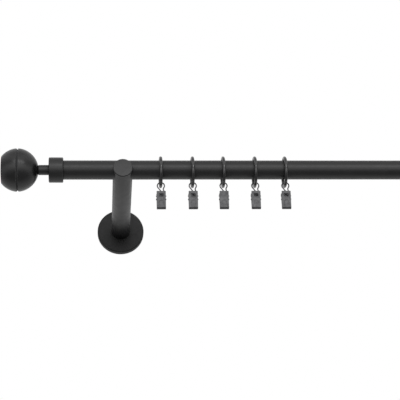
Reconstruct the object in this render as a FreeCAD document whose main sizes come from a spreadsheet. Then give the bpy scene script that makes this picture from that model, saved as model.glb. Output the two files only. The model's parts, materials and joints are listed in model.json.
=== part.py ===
"""Curtain rod on two wall brackets, with ball finials and five clip rings. Millimetres.

The frame's origin is where the left arm's axis meets the wall. +X runs along the rod,
-Y points from the wall into the room, and +Z is up.
"""
import FreeCAD, Part
import math
import os

import Sketcher

doc = FreeCAD.newDocument("curtain_rod")

SIZES = {
    # rod and where it sits
    "rod_dia": 19.0,
    "rod_wall": 1.2,
    "bracket_pitch": 600.0,  # left arm axis to right arm axis
    "rod_overhang": 70.0,  # arm axis to the rod's end
    "rod_reach": 147.0,  # wall to rod axis
    "rod_rise": 3.4,  # rod axis above the arm axis
    # bracket
    "arm_dia": 19.5,
    "lip_depth": 3.0,  # arm and cap in front of the rod
    "cap_depth": 2.0,
    "cap_chamfer": 0.7,
    "rosette_dia": 49.4,
    "rosette_depth": 6.5,
    "rosette_wall": 1.2,
    "rosette_round": 1.4,
    "plate_dia": 44.0,
    "plate_depth": 2.5,
    "screw_circle": 33.0,  # pitch circle of the wall screws
    "screw_hole_dia": 4.5,
    "screw_count": 3.0,
    "bolt_dia": 5.0,
    "bolt_length": 22.0,
    "bolt_head_dia": 9.2,
    "bolt_head_depth": 2.1,
    "bolt_key": 3.0,  # across the flats of the key's socket
    "bolt_key_depth": 1.6,
    # finial
    "collar_dia": 25.0,
    "collar_length": 14.1,
    "collar_floor": 2.65,
    "collar_chamfer": 0.6,
    "grub_dia": 4.0,
    "grub_length": 2.8,
    "grub_key": 2.0,
    "grub_key_depth": 1.5,
    "neck_dia": 10.0,
    "neck_length": 10.65,
    "neck_chamfer": 0.6,
    "ball_dia": 43.0,
    "ball_cut": 0.9,  # each half's flat joint face, past the middle of its sphere
    "ball_seat": 20.9,  # the neck's seat, from the middle of the inner half's sphere
    "ball_flat": 16.8,  # the outer flat, from the middle of the outer half's sphere
    "groove_width": 2.0,  # of the V between the halves, half of it in each
    "groove_depth": 1.8,
    "stud_dia": 6.0,
    "stud_in_ball": 28.7,  # past the neck
    "stud_in_rod": 6.65,  # past the collar's outer face
    # rings on the rod
    "ring_radius": 14.3,  # to the middle of the wire
    "ring_wire_dia": 3.0,
    "hang_gap": 0.8,
    "first_ring": 37.5,  # from the left arm's axis
    "gap_to_second": 31.5,
    "gap_to_third": 30.5,
    "gap_to_fourth": 31.5,
    "gap_to_fifth": 30.0,
    # wire hook, heights from the clip's pin
    "hook_wire_dia": 1.2,
    "loop_radius": 3.5,
    "loop_height": 14.9,
    "left_slant": 36.0,  # degrees below level where the slant leaves the loop
    "left_leg_at": 0.35,
    "elbow_bend": 2.0,
    "left_foot_bend": 1.2,
    "right_pinch": 28.0,  # degrees below level where the pinch leaves the loop
    "neck_at": 2.15,
    "neck_bend": 1.5,
    "spread_height": 9.2,
    "spread_bend": 1.0,
    "right_leg_at": 2.8,
    "right_foot_bend": 1.0,
    "foot_height": 3.7,
    "foot_reach": 5.2,
    "foot_clearance": 0.06,
    # clip, heights and depths from its pin
    "clip_width": 9.0,
    "sheet": 0.6,
    "handle_height": 7.9,
    "handle_depth": 3.1,
    "knee_height": 0.4,
    "knee_depth": 2.1,
    "jaw_height": 8.7,
    "jaw_depth": 1.2,
    "lip_height": 10.3,
    "jaw_gap": 0.4,
    "pin_dia": 1.1,
    "pin_half_length": 5.1,
    "pin_head_dia": 1.6,
    "pin_head_depth": 0.5,
    "pin_clearance": 0.05,
    "inner_ear_at": 2.95,
    "window_width": 4.7,
    "window_bottom": 2.0,
    "window_top": 5.3,
    "coil_dia": 3.0,
    "coil_bore": 2.0,
    "coil_half_length": 2.2,
    "spring_wire_dia": 0.5,
    "spring_leg_height": 3.2,
    "spring_back_leg": 1.9,
    "spring_front_leg": 1.56,
}


def fill_sheet():
    """Put every driving size in a spreadsheet, with its name as the cell's alias."""
    table = doc.addObject("Spreadsheet::Sheet", "Sizes")
    for row, (name, value) in enumerate(SIZES.items(), start=1):
        table.set(f"A{row}", name)
        table.set(f"B{row}", str(value))
        table.setAlias(f"B{row}", name)
    doc.recompute()
    return table


sheet = fill_sheet()


def size(name):
    """A driving size, read from the sheet."""
    return sheet.get(name)


def plane(body, role):
    """One of the body's own origin planes or axes."""
    return next(item for item in body.Origin.OriginFeatures if item.Role == role)


def sketch_on(body, role, name, lift="0"):
    """An empty sketch on an origin plane, lifted along its normal."""
    sketch = body.newObject("Sketcher::SketchObject", name)
    sketch.AttachmentSupport = (plane(body, role), [""])
    sketch.MapMode = "FlatFace"
    sketch.setExpression("AttachmentOffset.Base.z", lift)
    return sketch


def fix_point(sketch, element, point, guess, x, y):
    """Tie a point to the sketch's origin with two dimensions that the sheet drives."""
    for kind, start, expression in (("DistanceX", guess[0], x), ("DistanceY", guess[1], y)):
        index = sketch.addConstraint(Sketcher.Constraint(kind, -1, 1, element, point, start))
        sketch.setExpression(f"Constraints[{index}]", expression)


def polygon(sketch, points):
    """A closed outline of straight lines through points given as expressions."""
    count = len(points)
    turn = 2 * math.pi / count
    guesses = [(math.cos(i * turn), math.sin(i * turn)) for i in range(count)]
    first = sketch.GeometryCount
    for i in range(count):
        start = FreeCAD.Vector(*guesses[i], 0)
        end = FreeCAD.Vector(*guesses[(i + 1) % count], 0)
        sketch.addGeometry(Part.LineSegment(start, end))
    for i in range(count):
        following = first + (i + 1) % count
        sketch.addConstraint(Sketcher.Constraint("Coincident", first + i, 2, following, 1))
    for i, (x, y) in enumerate(points):
        fix_point(sketch, first + i, 1, guesses[i], x, y)


def circle(sketch, x, y, radius):
    """A circle whose centre and radius are expressions."""
    shape = Part.Circle(FreeCAD.Vector(1, 1, 0), FreeCAD.Vector(0, 0, 1), 1)
    element = sketch.addGeometry(shape)
    fix_point(sketch, element, 3, (1, 1), x, y)
    index = sketch.addConstraint(Sketcher.Constraint("Radius", element, 1))
    sketch.setExpression(f"Constraints[{index}]", radius)


def new_body(label):
    """An empty body whose label is the sub-part's name."""
    body = doc.addObject("PartDesign::Body", label)
    body.Label = label
    return body


def pad(body, sketch, length, symmetric=False, backwards=False):
    """Push a sketch out along its plane's normal."""
    feature = body.newObject("PartDesign::Pad", "Pad")
    feature.Profile = sketch
    feature.setExpression("Length", length)
    feature.Midplane = symmetric
    feature.Reversed = backwards
    return feature


def pocket(body, sketch, length, symmetric=False, backwards=False):
    """Cut a sketch's outline out of the body, and check that it took material away."""
    doc.recompute()
    before = body.Shape.Volume
    feature = body.newObject("PartDesign::Pocket", "Pocket")
    feature.Profile = sketch
    feature.setExpression("Length", length)
    feature.Midplane = symmetric
    feature.Reversed = backwards
    doc.recompute()
    if body.Shape.Volume >= before - 1e-6:
        raise RuntimeError(f"a pocket in {body.Label} cuts nothing")
    return feature


def turned(label, points):
    """A turned body: an outline of (along the axis, radius) revolved about local X."""
    body = new_body(label)
    sketch = sketch_on(body, "XY_Plane", "Outline")
    polygon(sketch, points)
    feature = body.newObject("PartDesign::Revolution", "Turned")
    feature.Profile = sketch
    feature.ReferenceAxis = (sketch, ["H_Axis"])
    feature.Angle = 360
    return body


def hexagon(sketch, flats):
    """A hexagon about the sketch's origin, from the distance across its flats."""
    corner = f"({flats}) / 2 / cos(30 deg)"
    points = []
    for i in range(6):
        points.append((f"{corner} * cos({60 * i} deg)", f"{corner} * sin({60 * i} deg)"))
    polygon(sketch, points)


def place(piece, x, y, z, rotation=FreeCAD.Rotation()):
    """Place a sub-part: a position from expressions, and a fixed turn."""
    piece.Placement = FreeCAD.Placement(FreeCAD.Vector(0, 0, 0), rotation)
    piece.setExpression("Placement.Base.x", x)
    piece.setExpression("Placement.Base.y", y)
    piece.setExpression("Placement.Base.z", z)


parts = []


def keep(piece):
    """Count a finished piece as a sub-part to export."""
    parts.append(piece)


AXIS_X = FreeCAD.Vector(1, 0, 0)
AXIS_Y = FreeCAD.Vector(0, 1, 0)
AXIS_Z = FreeCAD.Vector(0, 0, 1)
INTO_ROOM = FreeCAD.Rotation(AXIS_Z, -90)  # local X turned to -Y
ABOUT_FACE = FreeCAD.Rotation(AXIS_Y, 180)  # the right finial points the other way

# ---------------------------------------------------------------- rod


def make_rod():
    """The rod is one straight tube."""
    body = new_body("rod")
    sketch = sketch_on(body, "YZ_Plane", "Section")
    circle(sketch, "0", "0", "Sizes.rod_dia / 2")
    circle(sketch, "0", "0", "Sizes.rod_dia / 2 - Sizes.rod_wall")
    pad(body, sketch, "Sizes.bracket_pitch + 2 * Sizes.rod_overhang")
    place(body, "-Sizes.rod_overhang", "-Sizes.rod_reach", "Sizes.rod_rise")
    keep(body)


# ---------------------------------------------------------------- finials
# Local X is the rod's axis, 0 at the collar's outer face, and the ball is at negative X.


def place_on_finial(piece, side, along="0", spin=FreeCAD.Rotation()):
    """Put a finial's piece at a distance along its axis, at the rod's left or right end."""
    end = "(Sizes.rod_overhang + Sizes.collar_floor)"
    if side == "left":
        place(piece, f"-{end} + ({along})", "-Sizes.rod_reach", "Sizes.rod_rise", spin)
    else:
        x = f"Sizes.bracket_pitch + {end} - ({along})"
        place(piece, x, "-Sizes.rod_reach", "Sizes.rod_rise", ABOUT_FACE * spin)


def make_collar(side):
    """A cup over the rod's end, with a floor for the stud and a tapped hole at the back."""
    edge = "Sizes.collar_dia / 2"
    bevel = "Sizes.collar_chamfer"
    stud = "Sizes.stud_dia / 2"
    bore = "Sizes.rod_dia / 2"
    body = turned(
        f"{side}_finial_collar",
        [
            ("0", stud),
            ("0", f"{edge} - {bevel}"),
            (bevel, edge),
            (f"Sizes.collar_length - {bevel}", edge),
            ("Sizes.collar_length", f"{edge} - {bevel}"),
            ("Sizes.collar_length", bore),
            ("Sizes.collar_floor", bore),
            ("Sizes.collar_floor", stud),
        ],
    )
    hole = sketch_on(body, "XZ_Plane", "GrubHole")
    circle(hole, "(Sizes.collar_length + Sizes.collar_floor) / 2", "0", "Sizes.grub_dia / 2")
    pocket(body, hole, "Sizes.collar_dia")
    place_on_finial(body, side)
    keep(body)


def make_grub(side):
    """The collar's grub screw, with a hexagon socket, pressed against the rod's back."""
    body = new_body(f"{side}_collar_screw")
    section = sketch_on(body, "XZ_Plane", "Section", "-Sizes.rod_dia / 2")
    circle(section, "0", "0", "Sizes.grub_dia / 2")
    pad(body, section, "Sizes.grub_length", backwards=True)
    top = "-(Sizes.rod_dia / 2 + Sizes.grub_length)"
    socket = sketch_on(body, "XZ_Plane", "Socket", top)
    hexagon(socket, "Sizes.grub_key")
    pocket(body, socket, "Sizes.grub_key_depth", backwards=True)
    place_on_finial(body, side, "(Sizes.collar_length + Sizes.collar_floor) / 2")
    keep(body)


def make_neck(side):
    """The slim spacer between collar and ball, bored for the stud."""
    edge = "Sizes.neck_dia / 2"
    bevel = "Sizes.neck_chamfer"
    stud = "Sizes.stud_dia / 2"
    body = turned(
        f"{side}_finial_neck",
        [
            ("0", stud),
            ("0", edge),
            (f"-Sizes.neck_length + {bevel}", edge),
            ("-Sizes.neck_length", f"{edge} - {bevel}"),
            ("-Sizes.neck_length", stud),
        ],
    )
    place_on_finial(body, side)
    keep(body)


def rod_along_x(name, radius, start, end):
    """A plain cylinder along X, between two distances given as expressions."""
    rod = doc.addObject("Part::Cylinder", name)
    rod.Placement.Rotation = FreeCAD.Rotation(AXIS_Y, 90)
    rod.setExpression("Radius", radius)
    rod.setExpression("Height", f"({end}) - ({start})")
    rod.setExpression("Placement.Base.x", start)
    return rod


def bevelled_slice(side, half, start, end, joint, taper):
    """A slice of a sphere between two distances along X, bevelled at its joint face."""
    name = f"{side}_{half}"
    ball = doc.addObject("Part::Sphere", f"{name}_sphere")
    ball.Placement.Rotation = FreeCAD.Rotation(AXIS_Y, 90)
    ball.setExpression("Radius", "Sizes.ball_dia / 2")
    span = rod_along_x(f"{name}_span", "Sizes.ball_dia", start, end)
    sliced = doc.addObject("Part::Common", f"{name}_slice")
    sliced.Base = ball
    sliced.Tool = span
    # the cone grows from the groove's bottom at the joint, by its depth in half its width
    cone = doc.addObject("Part::Cone", f"{name}_bevel")
    cone.Placement.Rotation = FreeCAD.Rotation(AXIS_Y, taper)
    cone.setExpression("Radius1", "Sizes.ball_dia / 2 - Sizes.groove_depth")
    cone.setExpression("Height", "Sizes.ball_dia")
    growth = "2 * Sizes.groove_depth / Sizes.groove_width * Sizes.ball_dia"
    cone.setExpression("Radius2", f"Sizes.ball_dia / 2 - Sizes.groove_depth + {growth}")
    cone.setExpression("Placement.Base.x", joint)
    bevelled = doc.addObject("Part::Common", f"{name}_bevelled")
    bevelled.Base = sliced
    bevelled.Tool = cone
    return bevelled


def bored(side, half, solid, start, end):
    """One half of the ball, with the stud's bore cut out of it."""
    bore = rod_along_x(f"{side}_{half}_bore", "Sizes.stud_dia / 2", start, end)
    piece = doc.addObject("Part::Cut", f"{side}_ball_{half}_half")
    piece.Label = f"{side}_ball_{half}_half"
    piece.Base = solid
    piece.Tool = bore
    return piece


def make_ball(side):
    """The ball's two turned halves, each a little less than half a sphere."""
    cut = "Sizes.ball_cut"
    middle = "-(Sizes.neck_length + Sizes.ball_seat)"
    slice_ = bevelled_slice(side, "inner", cut, "Sizes.ball_seat", cut, 90)
    inner = bored(side, "inner", slice_, cut, "Sizes.ball_seat")
    place_on_finial(inner, side, middle)
    keep(inner)

    outer_middle = f"{middle} + 2 * {cut}"
    slice_ = bevelled_slice(side, "outer", "-Sizes.ball_flat", f"-{cut}", f"-{cut}", -90)
    stud_end = f"-(Sizes.neck_length + Sizes.stud_in_ball) - ({outer_middle})"
    outer = bored(side, "outer", slice_, stud_end, f"-{cut}")
    place_on_finial(outer, side, outer_middle)
    keep(outer)


def make_stud(side):
    """The hidden stud that pulls collar, neck and ball together."""
    start = "-(Sizes.neck_length + Sizes.stud_in_ball)"
    radius = "Sizes.stud_dia / 2"
    body = turned(
        f"{side}_finial_stud",
        [
            (start, "0"),
            (start, radius),
            ("Sizes.stud_in_rod", radius),
            ("Sizes.stud_in_rod", "0"),
        ],
    )
    place_on_finial(body, side)
    keep(body)


# ---------------------------------------------------------------- brackets
# Turned pieces have local X pointing from the wall into the room.


def place_on_bracket(piece, side, rotation=FreeCAD.Rotation()):
    """Put a bracket's piece at the left or the right arm's foot."""
    x = "0" if side == "left" else "Sizes.bracket_pitch"
    place(piece, x, "0", "0", rotation)


ARM_FRONT = "(Sizes.rod_reach + Sizes.rod_dia / 2 + Sizes.lip_depth - Sizes.cap_depth)"


def make_arm(side):
    """A round bar with an open-topped saddle across it, tapped at the wall end."""
    body = new_body(f"{side}_bracket_arm")
    section = sketch_on(body, "XZ_Plane", "Section", "Sizes.plate_depth")
    circle(section, "0", "0", "Sizes.arm_dia / 2")
    pad(body, section, f"{ARM_FRONT} - Sizes.plate_depth")

    saddle = sketch_on(body, "YZ_Plane", "Saddle")
    circle(saddle, "-Sizes.rod_reach", "Sizes.rod_rise", "Sizes.rod_dia / 2")
    pocket(body, saddle, "2 * Sizes.arm_dia", symmetric=True)

    near = "-Sizes.rod_reach + Sizes.rod_dia / 2"
    far = "-Sizes.rod_reach - Sizes.rod_dia / 2"
    mouth = sketch_on(body, "YZ_Plane", "SaddleMouth")
    corners = [(near, "Sizes.rod_rise"), (near, "Sizes.arm_dia"), (far, "Sizes.arm_dia")]
    polygon(mouth, corners + [(far, "Sizes.rod_rise")])
    pocket(body, mouth, "2 * Sizes.arm_dia", symmetric=True)

    tapped = sketch_on(body, "XZ_Plane", "BoltHole", "Sizes.plate_depth")
    circle(tapped, "0", "0", "Sizes.bolt_dia / 2")
    pocket(body, tapped, "Sizes.bolt_length - Sizes.plate_depth", backwards=True)
    place_on_bracket(body, side)
    keep(body)


def make_arm_cap(side):
    """The disc that closes the arm's front end."""
    edge = "Sizes.arm_dia / 2"
    front = f"({ARM_FRONT} + Sizes.cap_depth)"
    body = turned(
        f"{side}_arm_cap",
        [
            (ARM_FRONT, "0"),
            (ARM_FRONT, edge),
            (f"{front} - Sizes.cap_chamfer", edge),
            (front, f"{edge} - Sizes.cap_chamfer"),
            (front, "0"),
        ],
    )
    place_on_bracket(body, side, INTO_ROOM)
    keep(body)


def make_rosette(side):
    """A round cup over the wall plate, with a rounded front edge."""
    edge = "Sizes.rosette_dia / 2"
    inside = f"{edge} - Sizes.rosette_wall"
    floor = "Sizes.rosette_depth - Sizes.rosette_wall"
    body = turned(
        f"{side}_rosette",
        [
            ("0", edge),
            ("Sizes.rosette_depth", edge),
            ("Sizes.rosette_depth", "Sizes.arm_dia / 2"),
            (floor, "Sizes.arm_dia / 2"),
            (floor, inside),
            ("0", inside),
        ],
    )
    doc.recompute()
    cup = body.Tip
    rim = front_rim(cup.Shape, size("rosette_depth"), size("rosette_dia") / 2)
    fillet = body.newObject("PartDesign::Fillet", "RoundedEdge")
    fillet.Base = (cup, [rim])
    fillet.setExpression("Radius", "Sizes.rosette_round")
    place_on_bracket(body, side, INTO_ROOM)
    keep(body)


def front_rim(shape, depth, radius):
    """The name of the circular edge of a given radius at a given depth along local X."""
    for number, edge in enumerate(shape.Edges, start=1):
        curve = edge.Curve
        if not hasattr(curve, "Radius") or not hasattr(curve, "Center"):
            continue
        if abs(curve.Radius - radius) < 1e-4 and abs(curve.Center.x - depth) < 1e-4:
            return f"Edge{number}"
    raise RuntimeError("no such rim")


def make_wall_plate(side):
    """A steel disc under the rosette, countersunk behind, with holes for the wall screws."""
    body = turned(
        f"{side}_wall_plate",
        [
            ("0", "Sizes.bolt_head_dia / 2"),
            ("0", "Sizes.plate_dia / 2"),
            ("Sizes.plate_depth", "Sizes.plate_dia / 2"),
            ("Sizes.plate_depth", "Sizes.bolt_dia / 2"),
            ("Sizes.bolt_head_depth", "Sizes.bolt_dia / 2"),
        ],
    )
    hole = sketch_on(body, "YZ_Plane", "ScrewHole")
    circle(hole, "0", "Sizes.screw_circle / 2", "Sizes.screw_hole_dia / 2")
    first = pocket(body, hole, "4 * Sizes.plate_depth", symmetric=True)
    pattern = body.newObject("PartDesign::PolarPattern", "ScrewHoles")
    pattern.Originals = [first]
    pattern.Axis = (plane(body, "X_Axis"), [""])
    pattern.Angle = 360
    pattern.setExpression("Occurrences", "Sizes.screw_count")
    body.Tip = pattern
    place_on_bracket(body, side, INTO_ROOM)
    keep(body)


def make_arm_bolt(side):
    """The countersunk bolt from behind the wall plate into the arm."""
    shank = "Sizes.bolt_dia / 2"
    body = turned(
        f"{side}_arm_bolt",
        [
            ("0", "0"),
            ("0", "Sizes.bolt_head_dia / 2"),
            ("Sizes.bolt_head_depth", shank),
            ("Sizes.bolt_length", shank),
            ("Sizes.bolt_length", "0"),
        ],
    )
    socket = sketch_on(body, "YZ_Plane", "Socket")
    hexagon(socket, "Sizes.bolt_key")
    pocket(body, socket, "Sizes.bolt_key_depth", backwards=True)
    place_on_bracket(body, side, INTO_ROOM)
    keep(body)


# ---------------------------------------------------------------- rings and clips
# A clip's local origin is the middle of its pin. Its front leaf is at negative Y.

RING_DROP = "(Sizes.ring_radius - Sizes.ring_wire_dia / 2 - Sizes.rod_dia / 2 - Sizes.hang_gap)"
# the loop rests on the ring's lowest wire, a hanging gap above it
LOOP_DROP = (
    "(Sizes.loop_radius - Sizes.hook_wire_dia / 2"
    " - Sizes.ring_wire_dia / 2 - Sizes.hang_gap)"
)
RING_HEIGHT = f"(Sizes.rod_rise - {RING_DROP})"
PIN_HEIGHT = f"({RING_HEIGHT} - Sizes.ring_radius - {LOOP_DROP} - Sizes.loop_height)"
RING_STEPS = [
    "Sizes.first_ring",
    "Sizes.gap_to_second",
    "Sizes.gap_to_third",
    "Sizes.gap_to_fourth",
    "Sizes.gap_to_fifth",
]
REVERSED_CLIP = 3  # this clip hangs with its plain leaf to the room


def ring_position(number):
    """The distance of a ring from the left arm's axis."""
    return "(" + " + ".join(RING_STEPS[:number]) + ")"


def place_on_hook(piece, number):
    """Put a clip's piece under one of the rings; the reversed clip is turned half round."""
    angle = 180 if number == REVERSED_CLIP else 0
    turn = FreeCAD.Rotation(AXIS_Z, angle)
    place(piece, ring_position(number), "-Sizes.rod_reach", PIN_HEIGHT, turn)


def make_ring(number):
    """A closed wire ring, which hangs on the rod."""
    ring = doc.addObject("Part::Torus", f"ring_{number}")
    ring.Label = f"ring_{number}"
    ring.setExpression("Radius1", "Sizes.ring_radius")
    ring.setExpression("Radius2", "Sizes.ring_wire_dia / 2")
    upright = FreeCAD.Rotation(AXIS_Y, 90)
    place(ring, ring_position(number), "-Sizes.rod_reach", RING_HEIGHT, upright)
    keep(ring)


def hook_path():
    """The bent wire's middle line, from one foot to the other.

    The left leg leaves the loop in a long slant to the clip's middle, and the right leg
    is pinched in to a neck and then spreads again.
    """
    loop = size("loop_radius")
    top = size("loop_height")
    foot = size("foot_height")
    reach = size("foot_reach")
    slant = math.radians(size("left_slant"))
    pinch = math.radians(size("right_pinch"))

    left_off = at(-loop * math.cos(slant), top - loop * math.sin(slant))
    left_leg = size("left_leg_at")
    # the slant runs at right angles to the loop's radius until it meets the leg's line
    elbow = left_off.z - (left_leg - left_off.x) / math.tan(slant)
    left = rounded_run(
        [at(-reach, foot), at(left_leg, foot), at(left_leg, elbow), left_off],
        [size("left_foot_bend"), size("elbow_bend")],
    )
    right_off = at(loop * math.cos(pinch), top - loop * math.sin(pinch))
    neck_drop = (right_off.x - size("neck_at")) / math.tan(pinch)
    neck = at(size("neck_at"), right_off.z - neck_drop)
    right_leg = size("right_leg_at")
    right = rounded_run(
        [right_off, neck, at(right_leg, size("spread_height")), at(right_leg, foot)]
        + [at(reach, foot)],
        [size("neck_bend"), size("spread_bend"), size("right_foot_bend")],
    )
    over_top = Part.Arc(left_off, at(0, top + loop), right_off).toShape()
    return Part.Wire(left + [over_top] + right)


def at(x, z):
    """A point in the hook's plane."""
    return FreeCAD.Vector(x, 0, z)


def rounded_run(points, radii):
    """Straight edges through the points, with a tangent arc at each inner one."""
    edges = []
    start = points[0]
    for before, corner, after, radius in zip(points, points[1:], points[2:], radii):
        back = (before - corner).normalize()
        ahead = (after - corner).normalize()
        half = back.getAngle(ahead) / 2
        into = corner + back * (radius / math.tan(half))
        out_of = corner + ahead * (radius / math.tan(half))
        middle = corner + (back + ahead).normalize() * (radius / math.sin(half) - radius)
        edges.append(Part.LineSegment(start, into).toShape())
        edges.append(Part.Arc(into, middle, out_of).toShape())
        start = out_of
    edges.append(Part.LineSegment(start, points[-1]).toShape())
    return edges


def make_hook(number):
    """The bent wire that hangs on the ring and carries the clip by its two feet."""
    path = hook_path()
    tip = at(-size("foot_reach"), size("foot_height"))
    section = Part.Wire(Part.makeCircle(size("hook_wire_dia") / 2, tip, AXIS_X))
    hook = doc.addObject("Part::Feature", f"hook_{number}")
    hook.Label = f"hook_{number}"
    hook.Shape = path.makePipeShell([section], True, False)
    area = math.pi * size("hook_wire_dia") ** 2 / 4
    if abs(hook.Shape.Volume / (area * path.Length) - 1) > 0.01:
        raise RuntimeError("the hook's volume isn't its section times its length")
    place(hook, ring_position(number), "-Sizes.rod_reach", PIN_HEIGHT)
    keep(hook)


def leaf_outline(side):
    """A leaf's side profile as (depth, height); side is -1 in front and 1 behind."""

    def depth(middle, offset):
        return f"{side} * ({middle} + {offset} * Sizes.sheet / 2)"

    gap = f"{side} * Sizes.jaw_gap / 2"
    bend = "(Sizes.jaw_height - Sizes.sheet / 2)"
    return [
        (depth("Sizes.handle_depth", 1), "Sizes.handle_height"),
        (depth("Sizes.knee_depth", 1), "Sizes.knee_height"),
        (depth("Sizes.jaw_depth", 1), "-Sizes.jaw_height"),
        (depth("Sizes.jaw_depth", -1), "-Sizes.lip_height"),
        (gap, "-Sizes.lip_height"),
        (gap, "-Sizes.lip_height + Sizes.sheet"),
        (depth("Sizes.jaw_depth", -1), f"-{bend}"),
        (depth("Sizes.knee_depth", -1), "Sizes.knee_height"),
        (depth("Sizes.handle_depth", -1), "Sizes.handle_height"),
    ]


def add_ears(body, start, outline):
    """A pair of ears folded from a leaf, starting at a distance each side of the middle."""
    sketch = sketch_on(body, "YZ_Plane", "Ear", start)
    polygon(sketch, outline)
    ear = pad(body, sketch, "Sizes.sheet")
    pair = body.newObject("PartDesign::Mirrored", "Ears")
    pair.Originals = [ear]
    pair.MirrorPlane = (plane(body, "YZ_Plane"), [""])
    body.Tip = pair


def drill_across(body, height, radius):
    """A hole across the clip, at a height above the pin."""
    sketch = sketch_on(body, "YZ_Plane", "CrossHole")
    circle(sketch, "0", height, radius)
    pocket(body, sketch, "2 * Sizes.clip_width", symmetric=True)


def make_clip_back(number):
    """The fixed leaf, whose tall ears hold the pin and the hook's feet."""
    body = new_body(f"clip_back_{number}")
    side_view = sketch_on(body, "YZ_Plane", "Leaf")
    polygon(side_view, leaf_outline(1))
    pad(body, side_view, "Sizes.clip_width", symmetric=True)
    ear = [
        ("Sizes.handle_depth * 0.9", "5.4"),
        ("-0.6", "5.4"),
        ("-1.0", "4.6"),
        ("-1.4", "0.8"),
        ("-1.2", "-0.9"),
        ("-0.5", "-1.5"),
        ("Sizes.knee_depth * 0.9", "-1.9"),
        ("Sizes.knee_depth", "Sizes.knee_height"),
    ]
    add_ears(body, "Sizes.clip_width / 2 - Sizes.sheet", ear)
    drill_across(body, "0", "Sizes.pin_dia / 2")
    foot_hole = "Sizes.hook_wire_dia / 2 + Sizes.foot_clearance"
    drill_across(body, "Sizes.foot_height", foot_hole)
    place_on_hook(body, number)
    keep(body)


def make_clip_front(number):
    """The leaf that opens, with a window in its handle and short ears inside the others."""
    body = new_body(f"clip_front_{number}")
    side_view = sketch_on(body, "YZ_Plane", "Leaf")
    polygon(side_view, leaf_outline(-1))
    pad(body, side_view, "Sizes.clip_width", symmetric=True)
    ear = [
        ("-Sizes.knee_depth", "-1.7"),
        ("0.5", "-1.2"),
        ("1.2", "-0.5"),
        ("1.2", "0.5"),
        ("0.5", "1.2"),
        ("-Sizes.knee_depth - 0.1", "1.5"),
    ]
    add_ears(body, "Sizes.inner_ear_at", ear)
    drill_across(body, "0", "Sizes.pin_dia / 2 + Sizes.pin_clearance")
    window = sketch_on(body, "XZ_Plane", "Window")
    half = "Sizes.window_width / 2"
    polygon(
        window,
        [
            (f"-{half}", "Sizes.window_bottom"),
            (half, "Sizes.window_bottom"),
            (half, "Sizes.window_top"),
            (f"-{half}", "Sizes.window_top"),
        ],
    )
    pocket(body, window, "4 * Sizes.handle_depth", symmetric=True)
    place_on_hook(body, number)
    keep(body)


def make_clip_pin(number):
    """The pin through all four ears, with a small head at each end."""
    end = "Sizes.pin_half_length"
    head = "(Sizes.pin_half_length - Sizes.pin_head_depth)"
    body = turned(
        f"clip_pin_{number}",
        [
            (f"-{end}", "0"),
            (f"-{end}", "Sizes.pin_head_dia / 2"),
            (f"-{head}", "Sizes.pin_head_dia / 2"),
            (f"-{head}", "Sizes.pin_dia / 2"),
            (head, "Sizes.pin_dia / 2"),
            (head, "Sizes.pin_head_dia / 2"),
            (end, "Sizes.pin_head_dia / 2"),
            (end, "0"),
        ],
    )
    place_on_hook(body, number)
    keep(body)


def make_clip_spring(number):
    """The torsion spring: its coil's outer shape, and a leg against each handle."""
    end = "Sizes.coil_half_length"
    body = turned(
        f"clip_spring_{number}",
        [
            (f"-{end}", "Sizes.coil_bore / 2"),
            (f"-{end}", "Sizes.coil_dia / 2"),
            (end, "Sizes.coil_dia / 2"),
            (end, "Sizes.coil_bore / 2"),
        ],
    )
    wire = "Sizes.spring_wire_dia"
    half = f"0.45 * {wire}"
    root = f"(Sizes.coil_dia / 2 - {wire} / 2)"
    legs = [
        (f"Sizes.coil_half_length - 1.3 * {wire}", "1", "Sizes.spring_back_leg"),
        (f"-Sizes.coil_half_length + 0.3 * {wire}", "-1", "Sizes.spring_front_leg"),
    ]
    for start, side, reach in legs:
        leg = sketch_on(body, "YZ_Plane", "Leg", start)
        polygon(
            leg,
            [
                (f"{side} * ({root} - {half})", "0"),
                (f"{side} * ({root} + {half})", "0"),
                (f"{side} * ({reach} + {half})", "Sizes.spring_leg_height"),
                (f"{side} * ({reach} - {half})", "Sizes.spring_leg_height"),
            ],
        )
        pad(body, leg, wire)
    place_on_hook(body, number)
    keep(body)


# ---------------------------------------------------------------- build and write

make_rod()
for name in ("left", "right"):
    make_collar(name)
    make_grub(name)
    make_neck(name)
    make_ball(name)
    make_stud(name)
    make_arm(name)
    make_arm_cap(name)
    make_rosette(name)
    make_wall_plate(name)
    make_arm_bolt(name)
for ring_number in range(1, len(RING_STEPS) + 1):
    make_ring(ring_number)
    make_hook(ring_number)
    make_clip_back(ring_number)
    make_clip_front(ring_number)
    make_clip_pin(ring_number)
    make_clip_spring(ring_number)

doc.recompute()
for item in doc.Objects:
    if "Invalid" in item.State or "Error" in item.State:
        raise RuntimeError(f"{item.Label} failed: {item.State}")
os.makedirs("parts", exist_ok=True)
for piece in parts:
    shape = piece.Shape
    if shape.isNull() or not shape.isValid() or len(shape.Solids) != 1:
        raise RuntimeError(f"{piece.Label} isn't one valid solid")
    shape.exportStep(f"parts/{piece.Label}.step")
print(len(parts), "sub-parts written")
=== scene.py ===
"""Looks for the curtain rod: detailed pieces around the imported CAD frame.

Each piece is built in millimetres in a local frame of its own, and then moved to its
place in the row frame, in metres. The places come from the CAD nodes' boxes.
"""
import json
import math

import bmesh
import bpy
from mathutils import Matrix, Vector


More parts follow.
